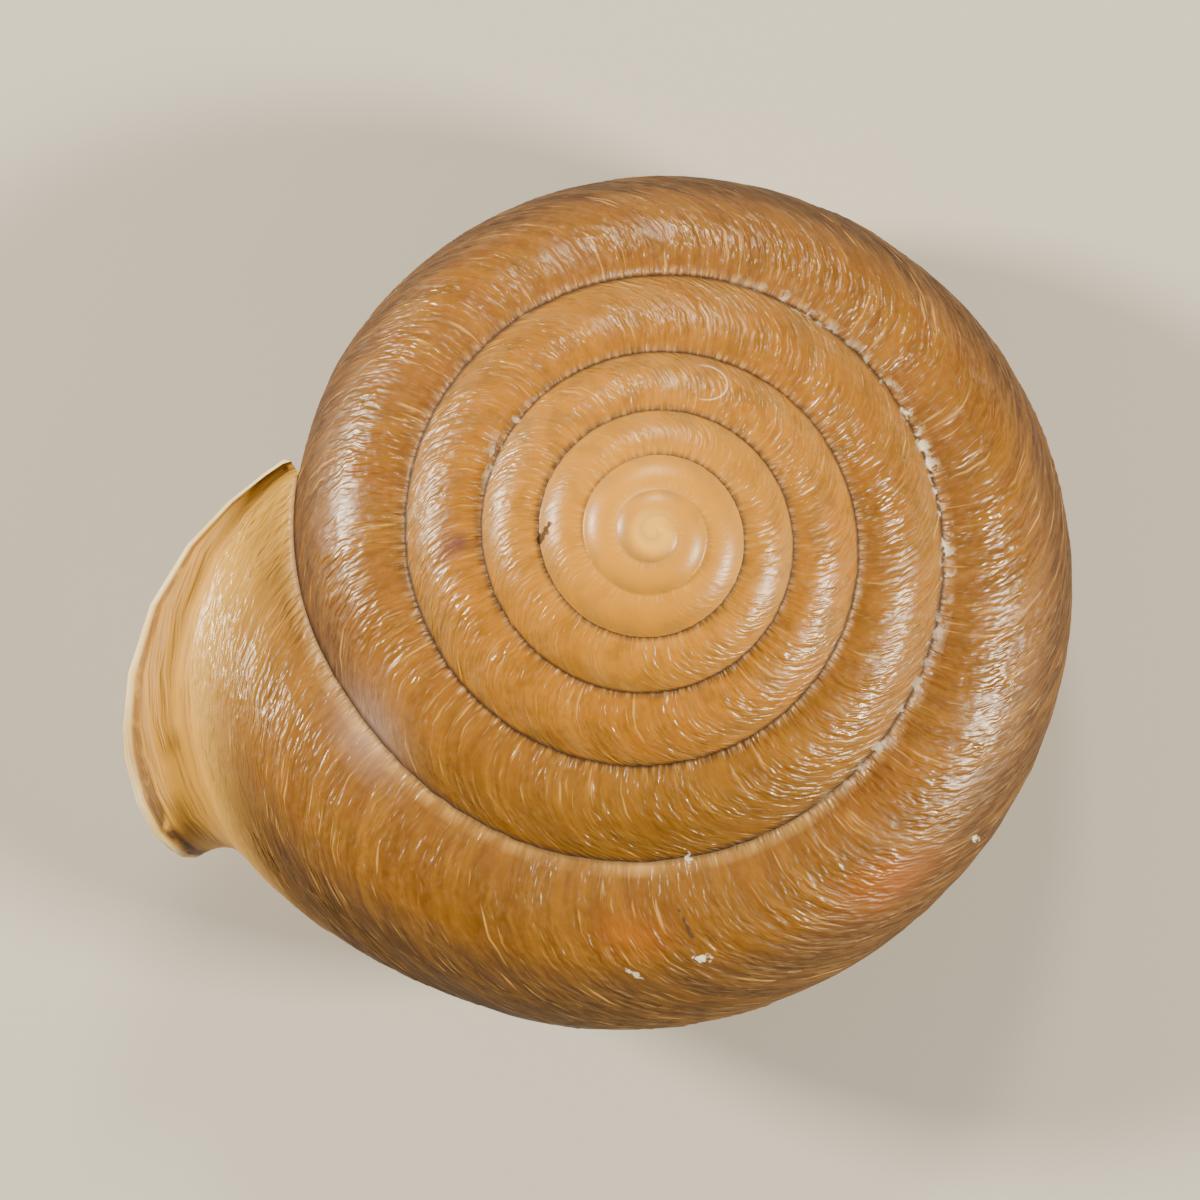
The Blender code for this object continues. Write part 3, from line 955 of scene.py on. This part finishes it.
@dataclass(frozen=True)
class HornySkin:
    """Thin horny outer layer (periostracum) over chalky shell, grown line by line.

    It gives a satin brown with glints on the rib crests, streaked along the growth lines.
    """

    nucleus: str = "#F5BC48"
    young: str = "#D09020"
    golden: str = "#A4690E"
    body: str = "#794B0E"
    # Deep brown: the skin's own dark streaks and bands, and painted shade on the rim and between the ribs
    deep_brown_and_shade: str = "#2A0D01"
    olive: str = "#6F4D07"
    pink_tan: str = "#B17849"
    straw: str = "#DCAA44"
    grey: str = "#9C7A44"
    # Pale gold of the rib crests, also laid as painted highlight on the glossiest streaks
    crest: str = "#E3B264"
    seam: str = "#240D03"
    deposit: str = "#EFE6D0"
    purple: str = "#57303A"
    orange: str = "#A85C06"
    lilac: str = "#A98E84"
    matt: float = 0.36
    gloss: float = 0.12
    ripple_height: float = 0.000034
    # Repeats per metre, or per millimetre across and along the growth lines; detail; start; full
    patterns: ClassVar[dict[str, tuple]] = {
        "blotch": (420.0, 4.0, 0.35, 0.68),
        "mottle": (1300.0, 4.0, 0.46, 0.62),
        "crumbs": (2600.0, 5.0, 0.50, 0.60),
        "flecks": (3300.0, 3.0, 0.48, 0.62),
        "ragged": (5200.0, 3.0, 0.3, 0.7),
        "grain": (9000.0, 2.0, 0.3, 0.7),
        "band": ((0.35, 0.07), 2.0, 0.38, 0.66),
        "patch": ((0.55, 0.40), 2.0, 0.36, 0.60),
        "wide": ((0.8, 0.3), 2.0, 0.30, 0.70),
        "broken": ((0.9, 0.9), 3.0, 0.22, 0.46),
        "streak": ((1.3, 0.22), 3.0, 0.40, 0.68),
        "teeth": ((3.2, 0.5), 2.0, 0.48, 0.58),
        "fine": ((3.4, 0.55), 3.0, 0.36, 0.70),
        "shreds": ((4.0, 1.5), 2.0, 0.42, 0.54),
        "ripple": ((4.2, 1.7), 1.0, 0.30, 0.70),
        "thread": ((5.0, 0.42), 2.0, 0.62, 0.72),
    }
    # Colour, the masks and patterns whose product is its cover, and its strength, from the lowest up
    layers: tuple[tuple[str, str, float], ...] = (
        ("grey", "low_band wide", 0.55),
        ("nucleus", "core", 0.85),
        ("grey", "grey_ring", 0.55),
        ("olive", "mottle grown", 0.45),
        ("pink_tan", "flecks grown", 0.14),
        # Painted shade: deep brown over the rim, where the whorl turns from the light
        ("deep_brown_and_shade", "painted_rim_shade", 0.97),
        ("olive", "olive", 0.6),
        ("pink_tan", "pink", 0.18),
        ("deep_brown_and_shade", "band", 0.08),
        ("young", "streak", 0.14),
        ("deep_brown_and_shade", "blotch fine", 0.08),
        # Painted shade in the hollows between the ribs
        ("deep_brown_and_shade", "valley fine grown", 0.20),
        ("straw", "lip", 0.85),
        ("crest", "crest fine", 0.12),
        ("crest", "thread", 0.45),
        # Painted highlight: the pale crest colour on the glossiest streaks
        ("crest", "polish", 0.12),
        ("orange", "orange", 0.7),
        ("lilac", "lilac", 0.65),
        ("seam", "seam broken", 0.96),
        ("crest", "rim teeth", 0.3),
        ("crest", "seam_edge", 0.7),
        ("deposit", "chalk", 0.95),
        ("seam", "cracks", 0.85),
        ("deposit", "hair facing", 0.7),
        ("purple", "purple", 0.8),
        ("seam", "groove", 0.7),
    )
    ramp: tuple[tuple[float, str], ...] = (
        (0.07, "young"), (0.30, "young"), (0.66, "golden"), (0.86, "body"), (1.0, "body"))

    def covers(self, paint: Paint) -> dict[str, Socket]:
        """All masks and patterns of the skin by name.

        Args:
            paint: the material.

        Returns:
            A value from 0 to 1 under each name.
        """
        uv, seen = (paint.node("UVMap", uv_map=name) for name in ("growth_mm", "seen_mm"))
        solid = paint.node("TexCoord", output="Object")
        cover = {}
        for attribute, names in MASKS.items():
            values = add_node(paint.tree, "Attribute", attribute_name=attribute).outputs
            colours = add_node(paint.tree, "SeparateColor", {0: values["Color"]}).outputs
            cover.update(zip(names, (*colours, values["Alpha"])))
        for name, (scale, *limits) in self.patterns.items():
            cover[name] = paint.noise(solid if isinstance(scale, float) else uv, scale, *limits)
        for name in ("streak", "band", "fine", "thread"):
            cover[name] = paint.join(cover[name], cover["grown"])
        raised = paint.node("Math", {0: cover["crest"], 1: 1.0, 2: 0.42}, operation="MULTIPLY_ADD", use_clamp=True)
        patch = paint.node("MapRange", {"Value": cover["patch"], "To Min": 0.35, "To Max": 1.0})
        cover["patch"] = patch
        cover["polish"] = paint.join(cover["shreds"], raised, cover["grown"], patch)
        # Painted shade: darker where the ribs are low
        cover["valley"] = paint.node("Math", {0: 0.9, 1: cover["crest"]}, operation="SUBTRACT", use_clamp=True)
        chips = paint.join(paint.uneven_marks(CHIPS, seen, cover["ragged"]), cover["facing"])
        cover["chalk"] = paint.join(paint.join(cover["deposit"], cover["crumbs"]), chips, how=Join.LARGEST)
        cover["cracks"] = paint.join(paint.uneven_marks(CRACKS, seen, cover["ragged"]), cover["facing"])
        cover["hair"] = paint.arc(HAIR, seen)
        return cover

    def total(self, paint: Paint, cover: dict[str, Socket], start: Socket, shares: dict[str, float]) -> Socket:
        """A value with shares of some covers added.

        Args:
            paint: the material.
            cover: all covers by name.
            start: the value.
            shares: how much of each cover is added.

        Returns:
            The sum.
        """
        return paint.join(start, *(paint.join(cover[name], share) for name, share in shares.items()), how=Join.SUM)

    def material(self) -> bpy.types.Material:
        """Build the material."""
        paint = Paint("horny_brown_skin")
        cover = self.covers(paint)
        where = paint.node("SeparateXYZ", {0: paint.node("UVMap", uv_map="place")})
        ramp = add_node(paint.tree, "ValToRGB", {0: where})
        while len(ramp.color_ramp.elements) < len(self.ramp):
            ramp.color_ramp.elements.new(0.5)
        for element, (at, colour) in zip(ramp.color_ramp.elements, self.ramp):
            element.position, element.color = at, linear(getattr(self, colour))
        colour = ramp.outputs[0]
        for name, masks, strength in self.layers:
            mask = paint.join(*(cover[part] for part in masks.split()))
            colour = paint.layer(colour, getattr(self, name), mask, strength)
        rough = paint.node("MapRange", {"Value": cover["polish"], "To Min": self.matt, "To Max": self.gloss})
        rough = self.total(paint, cover, rough, {"chalk": 0.35, "seam": 0.45, "painted_rim_shade": 0.38, "cracks": 0.45})
        height = paint.join(cover["ripple"], cover["grown"], cover["patch"])
        height = self.total(paint, cover, height, {"streak": 0.4, "grain": 0.04, "chalk": 1.2})
        bump = paint.node("Bump", {"Strength": 1.0, "Distance": self.ripple_height, "Height": height})
        return paint.finish({"Base Color": colour, "Roughness": rough, "Normal": bump, "IOR": 1.5})


@dataclass(frozen=True)
class CreamLip:
    """Bare thick shell (calcium carbonate) of the lip, laid down in thin lines parallel to its edge.

    It gives a dull cream white with fine tan lines.
    """

    cream: str = "#F6E6B8"
    warm: str = "#E8C880"
    straw: str = "#CE9834"
    tan: str = "#86591C"
    groove: str = "#3F200B"
    roughness: float = 0.52

    def material(self) -> bpy.types.Material:
        """Build the material."""
        paint = Paint("cream_lip_shell")
        uv = paint.node("UVMap", uv_map="growth_mm")
        across, along, _ = add_node(paint.tree, "SeparateXYZ", {0: paint.node("UVMap", uv_map="place")}).outputs
        line = paint.noise(uv, (5.5, 0.35), 3.0, 0.40, 0.66)
        cloud = paint.noise(uv, (0.5, 0.35), 3.0, 0.35, 0.65)
        outer = paint.node("MapRange", {"Value": across, "From Min": 0.455, "From Max": 0.40}, **SMOOTH)
        plain = {0: cloud, 6: linear(self.cream), 7: linear(self.warm)}
        colour = paint.layer(paint.node("Mix", plain, 2, data_type="RGBA"), self.straw, outer)
        colour = paint.layer(colour, self.tan, paint.join(line, outer), 0.42)
        colour = paint.layer(colour, self.warm, line, 0.10)
        # The groove lies just inside the outer edge, and is strongest away from the lip's low end
        behind = paint.node("MapRange", {"Value": across, "From Min": 0.33, "From Max": 0.37}, **SMOOTH)
        ahead = paint.node("MapRange", {"Value": across, "From Min": 0.435, "From Max": 0.40}, **SMOOTH)
        low = {"Value": along, "From Min": 0.20, "From Max": 0.31, "To Min": 0.6}
        low = paint.node("MapRange", low, **SMOOTH)
        broken = paint.noise(uv, (1.5, 1.1), 3.0, 0.30, 0.52)
        colour = paint.layer(colour, self.groove, paint.join(behind, ahead, paint.join(broken, low)), 0.9)
        bump = paint.node("Bump", {"Strength": 0.8, "Distance": 0.00003, "Height": line})
        return paint.finish({"Base Color": colour, "Normal": bump, "Roughness": self.roughness, "IOR": 1.45})


@dataclass(frozen=True)
class SmoothInside:
    """Inner shell layer (calcium carbonate without nacre) polished by the soft body.

    It gives a glossy pinkish cream that turns browner further into the hollow, where painted shade darkens it.
    """

    cream: str = "#E6D3B4"
    pink: str = "#CFAE98"
    inward_shade: str = "#8A6548"
    roughness: float = 0.24

    def material(self) -> bpy.types.Material:
        """Build the material."""
        paint = Paint("smooth_inner_shell")
        uv = paint.node("UVMap", uv_map="growth_mm")
        inward = paint.node("SeparateXYZ", {0: paint.node("UVMap", uv_map="place")})
        cloud = paint.noise(uv, (0.35, 0.25), 3.0, 0.35, 0.65)
        line = paint.noise(uv, (2.4, 0.10), 2.0, 0.42, 0.68)
        # Painted shade: browner further into the hollow
        inward_shade = paint.node("MapRange", {"Value": inward, "From Min": 0.02, "From Max": 0.55}, **SMOOTH)
        plain = {0: cloud, 6: linear(self.cream), 7: linear(self.pink)}
        colour = paint.layer(paint.node("Mix", plain, 2, data_type="RGBA"), self.pink, line, 0.4)
        colour = paint.layer(colour, self.inward_shade, inward_shade, 0.8)
        bump = paint.node("Bump", {"Strength": 0.4, "Distance": 0.00002, "Height": line})
        return paint.finish({"Base Color": colour, "Normal": bump,
                             "Roughness": self.roughness, "Coat Weight": 0.3, "Coat Roughness": 0.15, "IOR": 1.55})


@dataclass
class ShellPiece:
    """The whole shell as one closed piece."""

    lines: GrowthLines
    lean_x: float = -5.61
    lean_y: float = 6.02
    smooth_angle: float = 70.0
    merge_distance: float = 0.00002
    sheets: list[bpy.types.Object] = field(default_factory=list)
    place: Vector = field(default_factory=Vector)

    @property
    def lean(self) -> Matrix:
        """Turn from the upright coil to the shell at rest."""
        return Euler((math.radians(self.lean_x), math.radians(self.lean_y), 0.0)).to_matrix()

    def add_sheet(self, name: str, surface: Surface, material: bpy.types.Material) -> None:
        """Lay a grid out as one sheet of the shell.

        Args:
            name: name of the sheet.
            surface: its points, in columns and rows.
            material: its finish.
        """
        columns, rows = surface.points.shape[:2]
        bpy.ops.object.select_all(action="DESELECT")
        bpy.ops.mesh.primitive_grid_add(x_subdivisions=columns - 1, y_subdivisions=rows - 1, size=2.0)
        sheet = bpy.context.active_object
        sheet.name = name
        mesh = sheet.data
        flat = np.empty(len(mesh.vertices) * 3, np.float32)
        mesh.vertices.foreach_get("co", flat)
        flat = flat.reshape(-1, 3)
        if len(flat) != columns * rows:
            raise ValueError(f"{name}: the grid has {len(flat)} points, not {columns * rows}")
        column, row = (np.rint((flat[:, axis] + 1.0) / 2.0 * (count - 1)).astype(int)
                       for axis, count in ((0, columns), (1, rows)))
        mesh.vertices.foreach_set("co", surface.points[column, row].astype(np.float32).ravel())
        corner = np.empty(len(mesh.loops), np.int32)
        mesh.loops.foreach_get("vertex_index", corner)
        maps = {"growth_mm": surface.growth_mm, "place": surface.place, "seen_mm": as_seen(surface.points)[..., :2]}
        for index, (label, values) in enumerate(maps.items()):
            layer = mesh.uv_layers[0] if index == 0 else mesh.uv_layers.new(name=label)
            layer.name = label
            layer.data.foreach_set("uv", values[column, row][corner].astype(np.float32).ravel())
        none = np.zeros((columns, rows))
        for label, names in MASKS.items():
            values = np.stack([surface.marks.get(part, none) for part in names], axis=-1)
            attribute = mesh.attributes.new(label, "FLOAT_COLOR", "CORNER")
            attribute.data.foreach_set("color", values[column, row][corner].astype(np.float32).ravel())
        mesh.materials.append(material)
        mesh.update()
        self.sheets.append(sheet)

    def add_cap(self, name: str, ring: Surface, middle: Array, rise: float, steps: int,
                material: bpy.types.Material) -> None:
        """Close a ring of points with a low dome.

        Args:
            name: name of the sheet.
            ring: the ring, as a surface of one row.
            middle: point at the top of the dome.
            rise: height of the dome above the plain cone.
            steps: rings of faces.
            material: its finish.
        """
        share = np.linspace(1.0, 0.0, steps + 1)[None]
        points = middle + (ring.points - middle) * share[..., None]
        points[..., 2] += rise * (4.0 * share * (1.0 - share))
        growth_mm = points[..., :2] * 0.7
        marks = {label: values * share**4 for label, values in ring.marks.items()}
        marks["core"] = 1.0 - (1.0 - ring.marks["core"]) * share
        marks["facing"] = 1.0 - (1.0 - ring.marks["facing"]) * share
        self.add_sheet(name, Surface(points, growth_mm, np.broadcast_to(ring.place, growth_mm.shape), marks), material)

    def ring_of(self, surface: Surface, column: Array, row: Array) -> Surface:
        """Ring of one row picked from a surface by columns and rows."""
        picks = (surface.points, surface.growth_mm, surface.place)
        marks = {label: values[column, row][:, None] for label, values in surface.marks.items()}
        return Surface(*(values[column, row][:, None] for values in picks), marks)

    def centroid(self, ring: Array) -> Array:
        """Middle of a closed ring of points, each weighed by the length that it stands for."""
        length = np.linalg.norm(np.diff(ring, axis=0), axis=1)
        return ((ring[1:] + ring[:-1]) / 2.0 * length[:, None]).sum(axis=0) / length.sum()

    def build_sheets(self) -> None:
        """Lay out all sheets of the shell."""
        lines = self.lines
        skin, cream, inner = HornySkin().material(), CreamLip().material(), SmoothInside().material()
        outside = Outside(lines, Relief(lines))
        upper = outside.surface(0, np.arange(lines.top + 1), None)
        under = outside.surface(lines.free, np.arange(lines.top, lines.rows + 1), upper.points)
        cavity = Cavity(lines)
        hollow = cavity.surface()
        mouth = np.concatenate([upper.points[-1], under.points[-1, 1:]])
        lip = Lip(lines, cavity).surface(mouth, hollow.points[0, : lines.rows + 1])
        self.add_sheet("upper whorls", upper, skin)
        self.add_sheet("underside", under, skin)
        self.add_sheet("hollow", hollow, inner)
        self.add_sheet("lip", lip, cream)
        self.add_sheet("callus edge", self.callus_edge(under, hollow), inner)
        columns = np.concatenate([np.arange(lines.shift, -1, -1), np.zeros(lines.top, int)])
        rows = np.concatenate([np.zeros(lines.shift + 1, int), np.arange(1, lines.top + 1)])
        ring = self.ring_of(upper, columns, rows)
        self.add_cap("tip", ring, self.centroid(ring.points[:, 0]), 0.03, 5, skin)
        columns = np.append(np.arange(len(under.points)), 0)
        ring = self.ring_of(under, columns, np.full_like(columns, lines.under_rows))
        low = lines.coil.navel_low + lines.coil.navel_dimple
        self.add_cap("navel", ring, np.array((0.0, 0.0, low)), 0.0, 3, skin)

    def callus_edge(self, under: Surface, hollow: Surface) -> Surface:
        """Edge of the callus, from the free edge of the whorl before to the cavity."""
        free = under.points[0, 1:-1]
        ring = hollow.points[0, self.lines.rows + 1 : -1][::-1]
        share = np.linspace(0.0, 1.0, 4)[None, :, None]
        points = free[:, None] * (1.0 - share) + ring[:, None] * share
        spread = np.broadcast_arrays(np.linspace(0.0, 0.4, 4)[None], np.arange(len(free))[:, None] * 0.6)
        growth_mm = np.stack(spread, axis=-1)
        return Surface(points, growth_mm, growth_mm * 0.01)

    def build(self) -> bpy.types.Object:
        """Join the sheets into one closed shell at rest.

        Returns:
            The finished piece.
        """
        self.build_sheets()
        bpy.ops.object.select_all(action="DESELECT")
        for sheet in self.sheets:
            sheet.select_set(True)
        bpy.context.view_layer.objects.active = self.sheets[0]
        bpy.ops.object.join()
        piece = bpy.context.active_object
        piece.name = piece.data.name = "snail_shell"
        bpy.ops.object.mode_set(mode="EDIT")
        bpy.ops.mesh.select_all(action="SELECT")
        bpy.ops.mesh.remove_doubles(threshold=self.merge_distance)
        bpy.ops.mesh.dissolve_degenerate(threshold=self.merge_distance / 2.0)
        bpy.ops.mesh.select_all(action="SELECT")
        bpy.ops.mesh.fill_holes(sides=0)
        bpy.ops.mesh.select_all(action="SELECT")
        bpy.ops.mesh.normals_make_consistent(inside=False)
        bpy.ops.object.mode_set(mode="OBJECT")
        bpy.ops.object.shade_smooth_by_angle(angle=math.radians(self.smooth_angle))
        self.stand(piece)
        return piece

    def stand(self, piece: bpy.types.Object) -> None:
        """Lean the shell as it rests, bring it to metres and set it in the solid's place."""
        piece.data.transform(Matrix.Scale(METRE, 4) @ self.lean.to_4x4())
        low, high = (np.array(corner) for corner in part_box("shell"))
        points = np.empty(len(piece.data.vertices) * 3, np.float32)
        piece.data.vertices.foreach_get("co", points)
        points = points.reshape(-1, 3)
        own_low, own_high = points.min(axis=0), points.max(axis=0)
        middle = (low + high) / 2.0 - (own_low + own_high) / 2.0
        self.place = Vector((float(middle[0]), float(middle[1]), float(low[2] - own_low[2])))
        piece.data.transform(Matrix.Translation(self.place))
        piece.data.update()


@dataclass(frozen=True)
class Light:
    """Soft area light that points at the shell.

    It comes from a turn in the picture, anticlockwise from the right, and a rise above the floor. Its size is
    in metres and its power in watts.
    """

    name: str
    turn: float
    rise: float
    size: tuple[float, float]
    power: float
    reach: float = 0.32
    colour: str = "#FFF0D4"

    def add(self) -> None:
        """Put the light in its place."""
        turn, rise = math.radians(self.turn), math.radians(self.rise)
        side = math.cos(rise) * self.reach
        spot = Vector((side * math.cos(turn), side * math.sin(turn), math.sin(rise) * self.reach))
        bpy.ops.object.light_add(type="AREA", location=spot)
        light = bpy.context.active_object
        light.name = self.name
        light.data.shape = "RECTANGLE"
        light.data.size, light.data.size_y = self.size
        light.data.energy = self.power
        light.data.color = linear(self.colour)[:3]
        light.rotation_euler = (-spot).to_track_quat("-Z", "Y").to_euler()


@dataclass
class Studio:
    """Plain pale floor, soft lights and the camera."""

    shell: ShellPiece
    lights: tuple[Light, ...] = (
        Light("key from the right", -12.0, 32.0, (0.065, 0.045), 1.9),
        Light("key from the left", 163.0, 30.0, (0.06, 0.045), 2.1),
        Light("fill from behind", 85.0, 36.0, (0.06, 0.045), 0.6),
    )
    lens: float = 700.0
    sensor: float = 36.0
    rim_depth: float = 7.5

    def add_floor(self) -> None:
        """Pale floor under the shell."""
        bpy.ops.object.select_all(action="DESELECT")
        bpy.ops.mesh.primitive_circle_add(vertices=96, radius=3.0, fill_type="NGON")
        floor = bpy.context.active_object
        floor.name = "floor"
        paint = Paint("pale_studio_floor")
        floor.data.materials.append(paint.finish({"Base Color": linear("#BFBDB8"), "Roughness": 0.7}))

    def add_camera(self) -> None:
        """Camera at the photograph's viewing angle and framing."""
        turn = self.shell.lean @ turned(SEEN_LEAN_X, SEEN_LEAN_Y).transposed()
        pixel = PHOTO_PIXEL * METRE
        right, up = (PHOTO_SIZE / 2.0 - APEX_PIXEL[0]) * pixel, (APEX_PIXEL[1] - PHOTO_SIZE / 2.0) * pixel
        distance = PHOTO_SIZE * pixel * self.lens / self.sensor
        spot = self.shell.place + turn @ Vector((right, up, distance - self.rim_depth * METRE))
        bpy.ops.object.camera_add(location=spot)
        camera = bpy.context.active_object
        camera.rotation_euler = turn.to_euler()
        camera.data.lens = self.lens
        camera.data.sensor_width = self.sensor
        camera.data.clip_start = 0.01
        bpy.context.scene.camera = camera

    def build(self) -> None:
        """Set up the floor, the lights and the camera."""
        self.add_floor()
        for light in self.lights:
            light.add()
        world = bpy.data.worlds.new("studio air")
        world.use_nodes = True
        air = world.node_tree.nodes["Background"].inputs
        air[0].default_value, air[1].default_value = linear("#E8EAEE"), 0.17
        bpy.context.scene.world = world
        self.add_camera()


def main() -> None:
    """Build the shell and the studio, and log the shell's triangle count."""
    logging.basicConfig(level=logging.INFO)
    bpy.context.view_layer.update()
    shell = ShellPiece(GrowthLines(Coil()))
    piece = shell.build()
    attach(piece, "root")
    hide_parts("shell")
    LOG.info("%s: %d triangles", piece.name, sum(len(face.vertices) - 2 for face in piece.data.polygons))
    Studio(shell).build()


if __name__ == "__main__":
    main()
